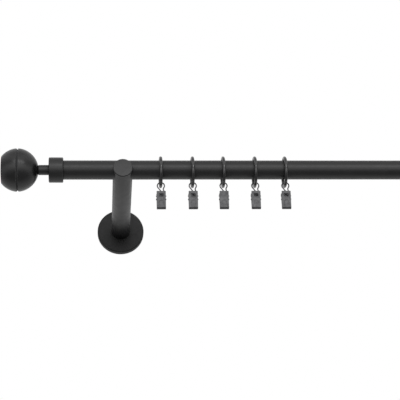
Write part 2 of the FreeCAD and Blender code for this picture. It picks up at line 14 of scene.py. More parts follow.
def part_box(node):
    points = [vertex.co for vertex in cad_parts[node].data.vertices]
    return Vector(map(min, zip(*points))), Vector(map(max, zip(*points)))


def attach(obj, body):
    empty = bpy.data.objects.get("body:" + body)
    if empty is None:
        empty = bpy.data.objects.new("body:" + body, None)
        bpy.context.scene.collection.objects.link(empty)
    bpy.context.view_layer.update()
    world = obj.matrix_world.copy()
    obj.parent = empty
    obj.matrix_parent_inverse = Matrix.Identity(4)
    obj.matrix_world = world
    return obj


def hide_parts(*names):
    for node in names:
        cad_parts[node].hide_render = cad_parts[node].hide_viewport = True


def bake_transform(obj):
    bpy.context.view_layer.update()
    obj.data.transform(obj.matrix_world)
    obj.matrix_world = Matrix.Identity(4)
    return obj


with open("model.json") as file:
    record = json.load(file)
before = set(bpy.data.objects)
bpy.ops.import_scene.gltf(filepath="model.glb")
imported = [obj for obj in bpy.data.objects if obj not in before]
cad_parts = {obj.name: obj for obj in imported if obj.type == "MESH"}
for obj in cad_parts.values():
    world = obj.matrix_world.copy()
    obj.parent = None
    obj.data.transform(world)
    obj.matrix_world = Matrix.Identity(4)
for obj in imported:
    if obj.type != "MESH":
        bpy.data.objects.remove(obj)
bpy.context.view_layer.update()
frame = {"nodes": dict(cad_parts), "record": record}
MM = 0.001
SIDES = ("left", "right")
CLIPS = range(1, 6)
REVERSED_CLIP = 3  # its plain leaf is towards the room

slot_of = {part["node"]: part["material_slot"] for part in frame["record"]["subparts"]}
body_of = {}
for body_name, members in frame["record"]["behaviour"]["bodies"].items():
    body_of.update({member: body_name for member in members})


# ---------------------------------------------------------------- camera


def add_camera():
    """A long lens from below and in front, aimed a little right of the left bracket."""
    target = Vector((75.66, -147.0, -29.49)) * MM
    distance = 1414.95 * MM
    yaw, pitch, roll = (math.radians(angle) for angle in (4.546, 25.115, -2.025))
    turn = Matrix.Rotation(-yaw, 4, "Z") @ Matrix.Rotation(math.pi / 2 + pitch, 4, "X")
    turn = turn @ Matrix.Rotation(roll, 4, "Z")
    camera = bpy.data.objects.new("camera", bpy.data.cameras.new("camera"))
    camera.data.lens = 129.5
    camera.data.clip_start = 0.01
    back = turn @ Vector((0, 0, 1))
    camera.matrix_world = Matrix.Translation(target + back * distance) @ turn
    bpy.context.scene.collection.objects.link(camera)
    bpy.context.scene.camera = camera


# ---------------------------------------------------------------- outlines and meshes


def rounded(corners, closed=True, steps=4):
    """Points of an outline through (x, y, radius) corners, each rounded by its radius."""
    points = []
    count = len(corners)
    for i, (x, y, radius) in enumerate(corners):
        here = Vector((x, y))
        if radius == 0 or (not closed and i in (0, count - 1)):
            points.append(here)
            continue
        before = (Vector(corners[i - 1][:2]) - here).normalized()
        after = (Vector(corners[(i + 1) % count][:2]) - here).normalized()
        half = before.angle(after) / 2
        centre = here + (before + after).normalized() * (radius / math.sin(half))
        first = here + before * (radius / math.tan(half)) - centre
        last = here + after * (radius / math.tan(half)) - centre
        # slerp gives a unit vector, so it is scaled back to the corner's radius
        points += [centre + radius * first.slerp(last, i / steps) for i in range(steps + 1)]
    return points


def arc(centre, radius, start, end, steps):
    """Points on an arc about (x, y), from one angle to another, in degrees."""
    points = []
    for i in range(steps + 1):
        angle = math.radians(start + (end - start) * i / steps)
        offset = Vector((radius * math.cos(angle), radius * math.sin(angle)))
        points.append(Vector(centre) + offset)
    return points


def new_object(bm, name):
    """An object from a bmesh, with its faces turned outwards."""
    bmesh.ops.recalc_face_normals(bm, faces=bm.faces)
    mesh = bpy.data.meshes.new(name)
    bm.to_mesh(mesh)
    bm.free()
    obj = bpy.data.objects.new(name, mesh)
    bpy.context.scene.collection.objects.link(obj)
    return obj


def lathe(name, outline, closed=False, steps=128):
    """An outline of (along, radius) points turned about local X."""
    bm = bmesh.new()
    rings = []
    for along, radius in outline:
        count = steps if radius > 1e-6 else 1
        ring = []
        for i in range(count):
            angle = 2 * math.pi * i / steps
            ring.append(bm.verts.new((along, radius * math.cos(angle), radius * math.sin(angle))))
        rings.append(ring)
    followers = rings[1:] + (rings[:1] if closed else [])
    for a, b in zip(rings, followers):
        for i in range(steps):
            j = (i + 1) % steps
            corners = [a[i % len(a)], a[j % len(a)], b[j % len(b)], b[i % len(b)]]
            corners = list(dict.fromkeys(corners))
            if len(corners) > 2:
                bm.faces.new(corners)
    return new_object(bm, name)


def prism(name, outline, axis, start, end):
    """A closed outline pushed from start to end along X (from Y, Z points) or Y (from X, Z)."""
    bm = bmesh.new()
    caps = []
    for along in (start, end):
        if axis == "X":
            caps.append([bm.verts.new((along, a, b)) for a, b in outline])
        else:
            caps.append([bm.verts.new((a, along, b)) for a, b in outline])
    for cap in caps:
        bm.faces.new(cap)
    for i in range(len(outline)):
        j = (i + 1) % len(outline)
        bm.faces.new((caps[0][i], caps[0][j], caps[1][j], caps[1][i]))
    return new_object(bm, name)


def tube(name, path, radius, sides):
    """A round wire along 3-D points, with domed ends."""
    bm = bmesh.new()
    last = len(path) - 1
    rings = []
    side = None
    for i, point in enumerate(path):
        forward = (path[min(i + 1, last)] - path[max(i - 1, 0)]).normalized()
        if side is None:
            side = forward.orthogonal().normalized()
        side = (side - forward * side.dot(forward)).normalized()
        up = forward.cross(side)
        stations = [(point, radius)]
        if i in (0, last):
            # the first ring is the full size, and three more round the end over to its tip
            sign = -1 if i == 0 else 1
            height = 0.5 * radius
            stations = []
            for degrees in (0, 35, 65, 86):
                dome = math.radians(degrees)
                below_tip = height - height * math.sin(dome)
                stations.append((point - forward * sign * below_tip, radius * math.cos(dome)))
            if i == 0:
                stations.reverse()
        for centre, size in stations:
            ring = []
            for k in range(sides):
                angle = 2 * math.pi * k / sides
                offset = side * math.cos(angle) + up * math.sin(angle)
                ring.append(bm.verts.new(centre + offset * size))
            rings.append(ring)
    for a, b in zip(rings, rings[1:]):
        for k in range(sides):
            m = (k + 1) % sides
            bm.faces.new((a[k], a[m], b[m], b[k]))
    bm.faces.new(rings[0])
    bm.faces.new(rings[-1])
    return new_object(bm, name)


def apply_modifiers(obj):
    """Keep the result of the object's modifiers as its mesh."""
    bpy.context.view_layer.update()
    graph = bpy.context.evaluated_depsgraph_get()
    mesh = bpy.data.meshes.new_from_object(obj.evaluated_get(graph))
    obj.modifiers.clear()
    obj.data = mesh


def combine(obj, tool, operation):
    """Join, cut or intersect an object with a closed tool, which is used up."""
    modifier = obj.modifiers.new("Boolean", "BOOLEAN")
    modifier.operation = operation
    modifier.solver = "EXACT"
    modifier.object = tool
    apply_modifiers(obj)
    bpy.data.objects.remove(tool)


SLIVER = 0.002  # the longest edge that is welded


def soften(obj, width):
    """Round every edge sharper than 40 degrees."""
    modifier = obj.modifiers.new("Bevel", "BEVEL")
    modifier.width = width
    modifier.segments = 2
    modifier.limit_method = "ANGLE"
    modifier.angle_limit = math.radians(40)
    apply_modifiers(obj)
    # weld the slivers that the bevel leaves in tight corners
    bm = bmesh.new()
    bm.from_mesh(obj.data)
    bmesh.ops.dissolve_degenerate(bm, edges=bm.edges, dist=SLIVER)
    bm.to_mesh(obj.data)
    bm.free()


# ---------------------------------------------------------------- material helpers


def new_material(name, colour, roughness, metallic=0.0):
    """A material, its node tree and its shader, with the given plain values."""
    material = bpy.data.materials.new(name)
    material.use_nodes = True
    tree = material.node_tree
    shader = tree.nodes["Principled BSDF"]
    shader.inputs["Base Color"].default_value = (*colour, 1)
    shader.inputs["Roughness"].default_value = roughness
    shader.inputs["Metallic"].default_value = metallic
    return material, tree, shader


def noise(tree, scale, detail, stretch=(1, 1, 1)):
    """Noise in the object's own coordinates; scale is in features per metre."""
    place = tree.nodes.new("ShaderNodeTexCoord")
    mapping = tree.nodes.new("ShaderNodeMapping")
    mapping.inputs["Scale"].default_value = stretch
    texture = tree.nodes.new("ShaderNodeTexNoise")
    texture.inputs["Scale"].default_value = scale
    texture.inputs["Detail"].default_value = detail
    tree.links.new(place.outputs["Object"], mapping.inputs["Vector"])
    tree.links.new(mapping.outputs["Vector"], texture.inputs["Vector"])
    return texture.outputs["Fac"]


def span(tree, value, low, high, start=0.3, end=0.7):
    """The value mapped from start..end to low..high."""
    mapper = tree.nodes.new("ShaderNodeMapRange")
    mapper.inputs["From Min"].default_value = start
    mapper.inputs["From Max"].default_value = end
    mapper.inputs["To Min"].default_value = low
    mapper.inputs["To Max"].default_value = high
    tree.links.new(value, mapper.inputs["Value"])
    return mapper.outputs["Result"]


def blend_colours(tree, factor, first, second):
    """A colour between two, where each is a plain colour or another node's output."""
    mix = tree.nodes.new("ShaderNodeMix")
    mix.data_type = "RGBA"
    tree.links.new(factor, mix.inputs["Factor"])
    for socket, colour in (("A", first), ("B", second)):
        target = next(s for s in mix.inputs if s.name == socket and s.type == "RGBA")
        if isinstance(colour, tuple):
            target.default_value = (*colour, 1)
        else:
            tree.links.new(colour, target)
    return next(s for s in mix.outputs if s.type == "RGBA")


def bump(tree, shader, heights):
    """Stack bumps on the shader: (height output, distance in metres) from broad to fine."""
    normal = None
    for height, distance in heights:
        node = tree.nodes.new("ShaderNodeBump")
        node.inputs["Strength"].default_value = 1.0
        node.inputs["Distance"].default_value = distance
        tree.links.new(height, node.inputs["Height"])
        if normal:
            tree.links.new(normal, node.inputs["Normal"])
        normal = node.outputs["Normal"]
    tree.links.new(normal, shader.inputs["Normal"])


def edge_mask(tree, radius):
    """1 on edges sharper than the radius and 0 on the faces between them."""
    bevel = tree.nodes.new("ShaderNodeBevel")
    bevel.samples = 4
    bevel.inputs["Radius"].default_value = radius
    geometry = tree.nodes.new("ShaderNodeNewGeometry")
    product = tree.nodes.new("ShaderNodeVectorMath")
    product.operation = "DOT_PRODUCT"
    tree.links.new(bevel.outputs["Normal"], product.inputs[0])
    tree.links.new(geometry.outputs["Normal"], product.inputs[1])
    # the two normals agree on a flat face, and part where the bevel rounds an edge
    return span(tree, product.outputs["Value"], 1.0, 0.0, 0.94, 0.998)


# ---------------------------------------------------------------- materials, by the record's slot


def powder_coat(name, dark, light, roughness, specular=0.5):
    """Satin black powder coat: a fine orange peel, and brighter on edges, a painted edge highlight that
    also stands for a thinner coat there.
    """
    material, tree, shader = new_material(name, dark, roughness)
    shader.inputs["Specular IOR Level"].default_value = specular
    shade = span(tree, noise(tree, 60, 4), 0, 1)
    body = blend_colours(tree, shade, dark, light)
    # the edges are painted four times lighter, in patches: a painted edge highlight, also standing for a
    # thinner coat there
    edge_highlight = edge_mask(tree, 0.0004)
    patchy_edge_highlight = tree.nodes.new("ShaderNodeMath")
    patchy_edge_highlight.operation = "MULTIPLY"
    tree.links.new(edge_highlight, patchy_edge_highlight.inputs[0])
    tree.links.new(span(tree, noise(tree, 400, 3), 0.2, 0.9), patchy_edge_highlight.inputs[1])
    edge = tuple(4 * channel for channel in light)
    tree.links.new(blend_colours(tree, patchy_edge_highlight.outputs[0], body, edge), shader.inputs["Base Color"])
    gloss = span(tree, noise(tree, 140, 3), roughness - 0.04, roughness + 0.05)
    tree.links.new(gloss, shader.inputs["Roughness"])
    bump(tree, shader, [(noise(tree, 350, 1), 0.00003), (noise(tree, 1300, 2), 0.000012)])
    return material


def plated_steel(name, dark, light, roughness):
    """Plated or drawn metal with fine streaks along one direction."""
    material, tree, shader = new_material(name, dark, roughness, 1.0)
    depth = 0.00001
    streaks = noise(tree, 2600, 3, stretch=(1, 1, 0.06))
    clouds = span(tree, noise(tree, 220, 4), 0, 1)
    body = blend_colours(tree, clouds, dark, light)
    # the edges are painted half again lighter: a painted edge highlight
    edge_highlight = edge_mask(tree, 0.00015)
    edge = tuple(min(1.0, 1.5 * channel) for channel in light)
    tree.links.new(blend_colours(tree, edge_highlight, body, edge), shader.inputs["Base Color"])
    tree.links.new(span(tree, streaks, roughness - 0.08, roughness + 0.1), shader.inputs["Roughness"])
    bump(tree, shader, [(clouds, 0.6 * depth), (streaks, depth)])
    return material


def zinc_plate(name):
    """Bright zinc plating, with faint yellow and blue patches."""
    material, tree, shader = new_material(name, (0.5, 0.5, 0.5), 0.3, 1.0)
    patches = span(tree, noise(tree, 90, 3), 0, 1)
    body = blend_colours(tree, patches, (0.52, 0.54, 0.58), (0.62, 0.6, 0.53))
    # the edges are painted near white: a painted edge highlight
    edge_highlight = edge_mask(tree, 0.0003)
    tree.links.new(blend_colours(tree, edge_highlight, body, (0.8, 0.8, 0.8)), shader.inputs["Base Color"])
    tree.links.new(span(tree, noise(tree, 500, 4), 0.24, 0.42), shader.inputs["Roughness"])
    bump(tree, shader, [(noise(tree, 900, 3), 0.00001)])
    return material


# the balls' coat is smoother; the rosettes' coat is more matt and darker than the rod's, a painted shade
MATT_SHADED_COAT = powder_coat("matt_shaded_black_coat", (0.007, 0.007, 0.0073), (0.01, 0.01, 0.0103), 0.52, specular=0.3)
BALL_COAT = powder_coat("smooth_black_coat", (0.008, 0.008, 0.0084), (0.011, 0.011, 0.0114), 0.3)
# the groove's walls get a lighter coat: painted light in the groove
GROOVE_LIGHT_COAT = powder_coat("groove_painted_light_coat", (0.03, 0.03, 0.031), (0.045, 0.045, 0.046), 0.5)
BLACK = ((0.009, 0.009, 0.0095), (0.013, 0.013, 0.0135))
MATERIALS = {
    "black_metal": powder_coat("satin_black_coat", *BLACK, 0.38),
    "black_wire": powder_coat("gloss_black_wire", *BLACK, 0.18, specular=0.9),
    "black_screw": plated_steel("black_oxide", (0.03, 0.03, 0.032), (0.05, 0.05, 0.052), 0.38),
    "zinc_steel": zinc_plate("zinc_plating"),
    "hook_wire": plated_steel("dark_nickel_wire", (0.09, 0.09, 0.095), (0.13, 0.13, 0.135), 0.35),
    "clip_steel": plated_steel("satin_gunmetal", (0.07, 0.07, 0.072), (0.115, 0.115, 0.118), 0.4),
    "pin_steel": plated_steel("black_pin", (0.03, 0.03, 0.032), (0.05, 0.05, 0.052), 0.4),
    "spring_steel": plated_steel("spring_steel", (0.15, 0.15, 0.155), (0.21, 0.21, 0.215), 0.28),
}


# ---------------------------------------------------------------- placing pieces


def middle(node):
    """The middle of a CAD node's box."""
    low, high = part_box(node)
    return (low + high) / 2


def placed(point, turn=Matrix.Identity(4)):
    """The matrix from a piece's own millimetres to its place in the row frame."""
    return Matrix.Translation(point) @ turn @ Matrix.Scale(MM, 4)


# degrees from which an edge is shaded as sharp; in the leaves, the flats are kept apart
# from the pressed arch that rises from them
CREASE = 32
LEAF_CREASE = 12


def finish_piece(obj, matrix, node, material=None):
    """Move a piece to its place, give it a finish, and let it stand for a CAD node."""
    obj.data.transform(matrix)
    obj.data.materials.clear()
    obj.data.materials.append(material or MATERIALS[slot_of[node]])
    obj.data.shade_smooth()
    crease = LEAF_CREASE if slot_of[node] == "clip_steel" else CREASE
    obj.data.set_sharp_from_angle(angle=math.radians(crease))
    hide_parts(node)


def install(obj, matrix, node, material=None):
    """Finish a piece and let it ride on the body of the CAD node that it replaces."""
    finish_piece(obj, matrix, node, material)
    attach(obj, body_of[node])


def spun(obj, keys, matrix_for, node_for, material=None):
    """Install copies of a piece made once, and use up the first one."""
    for key in keys:
        copy = bpy.data.objects.new(f"{obj.name}_{key}", obj.data.copy())
        bpy.context.scene.collection.objects.link(copy)
        install(copy, matrix_for(key), node_for(key), material)
    bpy.data.objects.remove(obj)


# ---------------------------------------------------------------- rod and finials

ROD_RADIUS = 9.5
TUBE_WALL = 1.2
COLLAR_RADIUS = 12.5
COLLAR_LENGTH = 14.1
COLLAR_WALL = 2.65  # of its closed end, against the neck
STUD_RADIUS = 3.0
NECK_RADIUS = 5.0
NECK_END = -10.65
TO_ROOM = Matrix.Rotation(math.radians(-90), 4, "Z")  # local X turned to -Y
ABOUT_FACE = Matrix.Rotation(math.pi, 4, "Z")


def finial_place(side):
    """Local X is the rod's axis with 0 at the collar's outer face; the ball is at -X."""
    low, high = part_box(f"{side}_finial_collar")
    axis = middle("rod")
    if side == "left":
        return placed(Vector((low.x, axis.y, axis.z)))
    return placed(Vector((high.x, axis.y, axis.z)), ABOUT_FACE)


def bracket_place(side):
    """Local X points from the wall into the room, along the arm's axis."""
    low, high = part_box(f"{side}_rosette")
    return placed(Vector(((low.x + high.x) / 2, high.y, (low.z + high.z) / 2)), TO_ROOM)


def make_rod():
    """The tube, with its sawn ends deburred."""
    low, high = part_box("rod")
    half = (high.x - low.x) / MM / 2
    inside = ROD_RADIUS - TUBE_WALL
    outline = [
        (-half, inside, 0.2),
        (-half, ROD_RADIUS, 0.3),
        (half, ROD_RADIUS, 0.3),
        (half, inside, 0.2),
    ]
    rod = lathe("rod_tube", rounded(outline), closed=True, steps=160)
    install(rod, placed(middle("rod")), "rod")


def collar_outline():
    """A cup with chamfered rims, open towards the rod."""
    chamfer = 0.6
    return rounded(
        [
            (0, STUD_RADIUS, 0.1),
            (0, COLLAR_RADIUS - chamfer, 0.25),
            (chamfer, COLLAR_RADIUS, 0.25),
            (COLLAR_LENGTH - chamfer, COLLAR_RADIUS, 0.25),
            (COLLAR_LENGTH, COLLAR_RADIUS - chamfer, 0.2),
            (COLLAR_LENGTH, ROD_RADIUS, 0.15),
            (COLLAR_WALL, ROD_RADIUS, 0.2),
            (COLLAR_WALL, STUD_RADIUS, 0.1),
        ]
    )


def neck_outline():
    """A spigot, chamfered where it meets the ball."""
    chamfer = 0.75
    return rounded(
        [
            (0, STUD_RADIUS, 0),
            (0, NECK_RADIUS, 0.1),
            (NECK_END + chamfer, NECK_RADIUS, 0.25),
            (NECK_END, NECK_RADIUS - chamfer, 0.1),
            (NECK_END, STUD_RADIUS, 0),
        ]
    )


BALL_RADIUS = 21.5
JOINT = -30.65  # where the ball's halves meet
GROOVE_FLOOR = 20.1  # its radius
GROOVE_HALF = 1.2  # half its width
HALF_SHIFT = 0.9  # how far each half's own centre lies past the joint
SEAT = 20.9  # from the inner half's centre to the flat that the neck meets
FLAT = 16.8  # from the outer half's centre to its flat end
HOLE_END = -39.35  # bottom of the stud's hole, in the outer half


def ball_half(centre, towards, end_angle):
    """A half of the ball: the joint face, half the V groove, and the sphere to its far end.

    towards is +1 for the inner half, on the neck's side, and -1 for the outer one.
    """
    edge = JOINT + towards * GROOVE_HALF
    rim = math.sqrt(BALL_RADIUS**2 - (edge - centre) ** 2)
    rim_angle = math.degrees(math.atan2(rim, edge - centre))
    # the sphere starts 0.9 degrees on, which leaves room for the rim's rounding
    sphere = arc((centre, 0), BALL_RADIUS, rim_angle - towards * 0.9, end_angle, 40)
    lip = rounded(
        [
            (JOINT, GROOVE_FLOOR, 0),
            (edge, rim, 0.35),
            (sphere[0].x, sphere[0].y, 0),
        ],
        closed=False,
    )
    return [Vector((JOINT, STUD_RADIUS))] + lip + sphere[1:]


def paint_groove_light(obj):
    """Give the groove's own walls a lighter coat: painted light in the groove, which would look dark."""
    obj.data.materials.append(GROOVE_LIGHT_COAT)
    axis = middle("rod")
    for face in obj.data.polygons:
        out = Vector((0, face.center.y - axis.y, face.center.z - axis.z))
        # a groove wall looks along the rod more than the sphere beside it does
        if out.length > (GROOVE_FLOOR - 0.05) * MM and abs(face.normal.x) > 0.5:
            face.material_index = 1


def make_ball(side):
    """The ball's two turned halves."""
    seat_angle = math.degrees(math.acos(SEAT / BALL_RADIUS))
    inner = ball_half(JOINT - HALF_SHIFT, 1, seat_angle)
    inner.append(Vector((inner[-1].x, STUD_RADIUS)))
    obj = lathe(f"{side}_ball_inner_turned", inner, closed=True, steps=160)
    install(obj, finial_place(side), f"{side}_ball_inner_half", BALL_COAT)
    paint_groove_light(obj)

    outer_centre = JOINT + HALF_SHIFT
    flat_angle = 180 - math.degrees(math.acos(FLAT / BALL_RADIUS))
    # the sphere stops 1.2 degrees short, which leaves room for the flat's rounded edge
    outer = ball_half(outer_centre, -1, flat_angle - 1.2)
    face = outer_centre - FLAT
    edge = BALL_RADIUS * math.sin(math.radians(flat_angle))
    last = outer[-1]
    flat = rounded([(last.x, last.y, 0), (face, edge, 0.4), (face, 0, 0)], closed=False)
    outer += flat[1:]
    bottom = [Vector((HOLE_END, 0)), Vector((HOLE_END, STUD_RADIUS))]
    obj = lathe(f"{side}_ball_outer_turned", bottom + outer, steps=160)
    install(obj, finial_place(side), f"{side}_ball_outer_half", BALL_COAT)
    paint_groove_light(obj)


def make_finial(side):
    """Collar, neck and ball, all turned about the rod's axis."""
    collar = lathe(f"{side}_collar_turned", collar_outline(), closed=True)
    grub_hole = lathe("grub_hole", [(-1, 0), (-1, 2.0), (1, 2.0), (1, 0)], steps=32)
    # the hole is on the wall's side; the right finial's place is turned half round
    wall_side = 1 if side == "left" else -1
    centre = Vector((8.375, wall_side * (COLLAR_RADIUS + ROD_RADIUS) / 2, 0))
    turn = Matrix.Rotation(math.radians(90), 4, "Z")
    behind = Matrix.Translation(centre) @ turn
    grub_hole.data.transform(behind @ Matrix.Scale(3, 4, (1, 0, 0)))
    combine(collar, grub_hole, "DIFFERENCE")
    install(collar, finial_place(side), f"{side}_finial_collar")
    neck = lathe(f"{side}_neck_turned", neck_outline(), closed=True, steps=96)
    install(neck, finial_place(side), f"{side}_finial_neck")
    make_ball(side)


# ---------------------------------------------------------------- brackets

ARM_RADIUS = 9.75
ARM_START = 2.5  # on the wall plate
ARM_END = 157.5
ROD_REACH = 147.0
ROD_RISE = 3.4


def make_arm():
    """The arm: a round bar with an open-topped saddle, its edges broken."""
    corners = [
        (ARM_START, 0, 0),
        (ARM_START, ARM_RADIUS, 0.3),
        (ARM_END, ARM_RADIUS, 0.22),
        (ARM_END, 0, 0),
    ]
    arm = lathe("arm_turned", rounded(corners, closed=False))
    clear = 2 * ARM_RADIUS
    top = [Vector((ROD_REACH + sign * ROD_RADIUS, clear)) for sign in (1, -1)]
    bottom = arc((ROD_REACH, ROD_RISE), ROD_RADIUS, 180, 360, 64)
    # the tool is a bar across the arm, whose side view is (along the arm, up)
    tool = prism("saddle", top + bottom, "Y", -clear, clear)
    combine(arm, tool, "DIFFERENCE")
    soften(arm, 0.22)
    return arm


def cap_outline():
    """A disc with a chamfered front edge."""
    front = ARM_END + 2.0
    chamfer = 0.7
    return rounded(
        [
            (ARM_END, 0, 0),
            (ARM_END, ARM_RADIUS, 0.22),
            (front - chamfer, ARM_RADIUS, 0.35),
            (front, ARM_RADIUS - chamfer, 0.3),
            (front, 0, 0),
        ],
        closed=False,
    )


def rosette_outline():
    """A shallow cup against the wall, with a hole for the arm."""
    radius, height, wall = 24.7, 6.5, 1.2
    return rounded(
        [
            (0, radius, 0.2),
            (height, radius, 1.4),
            (height, ARM_RADIUS, 0.2),
            (height - wall, ARM_RADIUS, 0),
            (height - wall, radius - wall, 0.5),
            (0, radius - wall, 0.15),
        ],
        steps=6,
    )


def make_brackets():
    """Arm, cap and rosette of both brackets."""
    spun(make_arm(), SIDES, bracket_place, lambda side: f"{side}_bracket_arm")
    spun(lathe("cap_turned", cap_outline()), SIDES, bracket_place, lambda side: f"{side}_arm_cap")
    rosette = lathe("rosette_turned", rosette_outline(), closed=True, steps=160)
    spun(rosette, SIDES, bracket_place, lambda side: f"{side}_rosette", MATT_SHADED_COAT)


# ---------------------------------------------------------------- rings and hooks

RING_RADIUS = 14.3
RING_WIRE = 1.5
NOTCH = 0.13
HOOK_WIRE = 0.6


def make_ring():
    """A bent wire ring in the YZ plane, with its butt joint at the back."""
    bm = bmesh.new()
    steps, sides = 168, 24
    rings = []
    for i in range(steps):
        angle = 2 * math.pi * i / steps
        # the joint is a fine notch, one step wide
        wire = RING_WIRE - (NOTCH if i == 0 else 0.0)
        outward = Vector((0, math.cos(angle), math.sin(angle)))
        ring = []
        for k in range(sides):
            turn = 2 * math.pi * k / sides
            spot = outward * (RING_RADIUS + wire * math.cos(turn))
            ring.append(bm.verts.new(spot + Vector((wire * math.sin(turn), 0, 0))))
        rings.append(ring)
    for i in range(steps):
        a, b = rings[i], rings[(i + 1) % steps]
        for k in range(sides):
            m = (k + 1) % sides
            bm.faces.new((a[k], a[m], b[m], b[k]))
    return new_object(bm, "ring_wire")


def hook_points():
    """The hook's middle line in the XZ plane, from its left foot to its right one."""
    loop, top, foot, reach = 3.5, 14.9, 3.7, 5.2
    left_leg, waist, right_leg = 0.35, 2.15, 2.8
    slant, pinch = math.radians(36), math.radians(28)
    left_off = Vector((-loop * math.cos(slant), top - loop * math.sin(slant)))
    elbow = left_off.y - (left_leg - left_off.x) / math.tan(slant)
    left = [(-reach, foot, 0), (left_leg, foot, 1.2), (left_leg, elbow, 2.0), (*left_off, 0)]
    right_off = Vector((loop * math.cos(pinch), top - loop * math.sin(pinch)))
    neck = (waist, right_off.y - (right_off.x - waist) / math.tan(pinch), 1.5)
    right = [
        (*right_off, 0),
        neck,
        (right_leg, 9.2, 1.0),
        (right_leg, foot, 1.0),
        (reach, foot, 0),
    ]
    over_top = arc((0, top), loop, 180 + math.degrees(slant), -math.degrees(pinch), 40)
    points = rounded(left, closed=False, steps=8)[:-1] + over_top
    points += rounded(right, closed=False, steps=8)[1:]
    return [Vector((p.x, 0, p.y)) for p in points]


def make_rings_and_hooks():
    """The five rings, and the wire that hangs on each one."""
    spun(make_ring(), CLIPS, lambda k: placed(middle(f"ring_{k}")), lambda k: f"ring_{k}")
    hook = tube("hook_bent", hook_points(), HOOK_WIRE, sides=16)
    spun(hook, CLIPS, lambda k: placed(middle(f"clip_pin_{k}")), lambda k: f"hook_{k}")


# ---------------------------------------------------------------- clips
# Local origin at the middle of the pin; the front leaf is at -Y.

CLIP_HALF = 4.5
SHEET = 0.6
CLIP_TOP = 7.9
JAW_BEND = -8.7
LIP = -10.3  # lowest edge
JAW_GAP = 0.2  # from the middle to a lip's inner edge
KNEE = (1.8, 0.4)  # inner depth and height of the bend above the jaw
HANDLE = 2.8  # inner depth at the top
FOOT_HEIGHT = 3.7  # of the hook's feet above the pin
FRONT_EAR = 2.95  # inner face of the front leaf's ears
PIN_RADIUS = 0.55


def clip_place(k):
    """A clip hangs at its pin; one of the five is turned half round."""
    turn = Matrix.Rotation(math.pi if k == REVERSED_CLIP else 0.0, 4, "Z")
    return placed(middle(f"clip_pin_{k}"), turn)


def leaf(name, side):
    """A leaf's bent strip, with rounded corners; side is -1 in front and 1 behind."""
    strip = rounded(
        [
            (HANDLE + SHEET, CLIP_TOP, 0.22),
            (KNEE[0] + SHEET, KNEE[1], 1.6),
            (1.62, JAW_BEND - 0.25, 0.3),
            (0.85, LIP, 0.15),
            (JAW_GAP, LIP, 0.1),
            (JAW_GAP, LIP + SHEET, 0.1),
            (0.95, JAW_BEND + 0.25, 0.2),
            (*KNEE, 1.2),
            (HANDLE, CLIP_TOP, 0.22),
        ]
    )
    obj = prism(name, [(side * depth, height) for depth, height in strip], "X", -CLIP_HALF, CLIP_HALF)
    front = rounded(
        [
            (-CLIP_HALF, CLIP_TOP, 0.7),
            (CLIP_HALF, CLIP_TOP, 0.7),
            (CLIP_HALF, LIP, 0.4),
            (-CLIP_HALF, LIP, 0.4),
        ],
        steps=6,
    )
    combine(obj, prism("front_view", front, "Y", side * -1.0, side * 6.0), "INTERSECT")
    return obj


def cut_teeth(obj, side):
    """Small V notches along the lip's inner edge, which grip the cloth."""
    bm = bmesh.new()
    count, pitch, depth, half_mouth = 8, 1.0, 0.35, 0.34
    inner = side * JAW_GAP / 2
    outer = side * (JAW_GAP + depth)
    for i in range(count):
        x = (i - (count - 1) / 2) * pitch
        spots = ((x - half_mouth, inner), (x + half_mouth, inner), (x, outer))
        low = [bm.verts.new((*spot, LIP - 0.5)) for spot in spots]
        high = [bm.verts.new((*spot, LIP + SHEET + 0.4)) for spot in spots]
        bm.faces.new(low)
        bm.faces.new(high)
        for a in range(3):
            b = (a + 1) % 3
            bm.faces.new((low[a], low[b], high[b], high[a]))
    combine(obj, new_object(bm, "teeth"), "DIFFERENCE")


def add_ears(obj, outline, inner, outer):
    """A plate on each side of the leaf, between two distances from its middle."""
    for sign in (-1, 1):
        start, end = sorted((sign * inner, sign * outer))
        combine(obj, prism("ear", outline, "X", start, end), "UNION")


def drill(obj, height, radius):
    """A hole across the clip, through both its ears."""
    clear = 8
    hole = lathe("hole", [(-clear, 0), (-clear, radius), (clear, radius), (clear, 0)], steps=32)
    hole.data.transform(Matrix.Translation((0, 0, height)))
    combine(obj, hole, "DIFFERENCE")


def add_rib(obj, side):
    """A pressed arch on the leaf's lower half, a shallow ridge."""
    foot, shoulder = 2.7, 1.7
    low, high = -7.8, -1.6
    points = rounded(
        [
            (-foot, low, 0),
            (-shoulder, high, 1.2),
            (shoulder, high, 1.2),
            (foot, low, 0),
        ],
        closed=False,
        steps=8,
    )
    # it follows the leaf's outer face, a little sunk in it
    outside, sunk = 1.5, 0.08
    slope = (KNEE[0] + SHEET - outside) / (KNEE[1] - JAW_BEND)
    path = []
    for x, z in points:
        path.append(Vector((x, side * (outside + (z - JAW_BEND) * slope - sunk), z)))
    combine(obj, tube("rib", path, 0.34, sides=10), "UNION")


def make_clip_back():
    """The fixed leaf: tall ears for the hook's feet and the pin."""
    obj = leaf("clip_back_pressed", 1)
    ear = rounded(
        [
            (2.79, 5.4, 0.2),
            (-0.6, 5.4, 0.8),
            (-1.4, 0.8, 1.5),
            (-1.2, -0.9, 0.8),
            (-0.5, -1.5, 0.6),
            (1.89, -1.9, 0.2),
            (2.1, 0.4, 0.2),
        ]
    )
    add_ears(obj, ear, CLIP_HALF - SHEET, CLIP_HALF)
    add_rib(obj, 1)
    drill(obj, 0, PIN_RADIUS)
    drill(obj, FOOT_HEIGHT, HOOK_WIRE + 0.06)
    cut_teeth(obj, 1)
    soften(obj, 0.1)
    return obj


